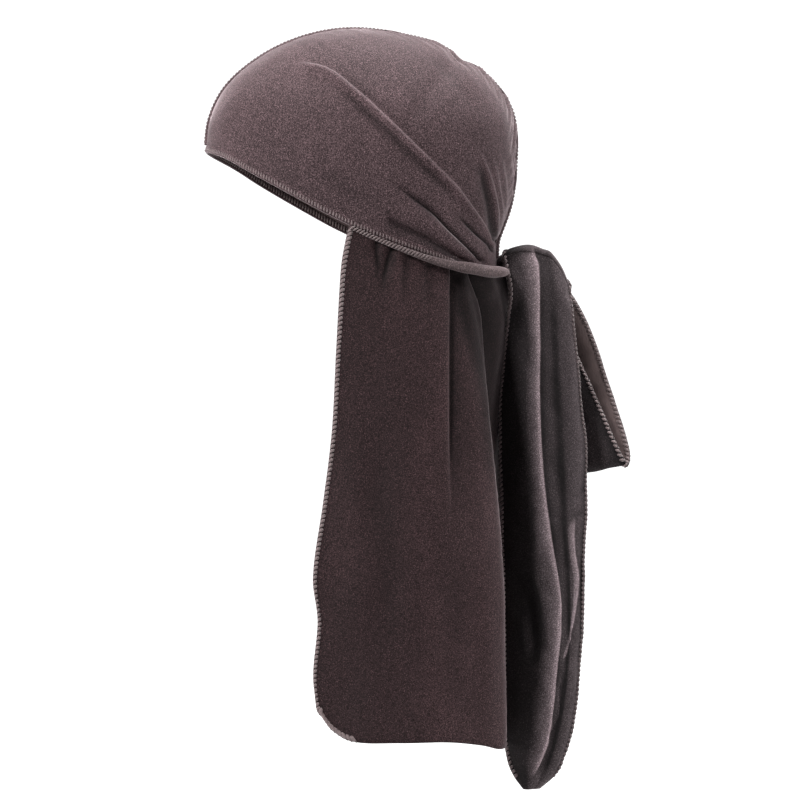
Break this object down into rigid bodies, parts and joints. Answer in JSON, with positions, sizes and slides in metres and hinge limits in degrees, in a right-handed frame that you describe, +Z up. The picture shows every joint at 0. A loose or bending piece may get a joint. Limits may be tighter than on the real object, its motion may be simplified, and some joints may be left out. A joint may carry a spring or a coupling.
{
  "type": "durag",
  "caption": "Velvet durag in its worn form, with a raised centre seam, a long neck flap, rolled ties knotted at the nape, a hanging tail and a half bow.",
  "frame": {"origin": "middle of the head hollow, level with the temples, where the head's middle sits", "axes": "+Z up as worn, the wearer faces -Y, +X is the wearer's left"},
  "size_m": [0.157, 0.2742, 0.4867],
  "materials": {
    "velvet": "dark grey-brown velvet pile",
    "velvet_back": "smooth knit back of the velvet",
    "edging": "overlock thread in a warm grey-brown"
  },
  "bodies": {
    "root": {"crown_left": "velvet", "crown_right": "velvet", "centre_seam": "edging", "front_hem": "edging", "neck_flap": "velvet", "left_tie_band": "velvet_back", "right_tie_band": "velvet_back", "knot": "velvet_back", "long_tail": "velvet", "bow_loop": "velvet"}
  },
  "joints": []
}
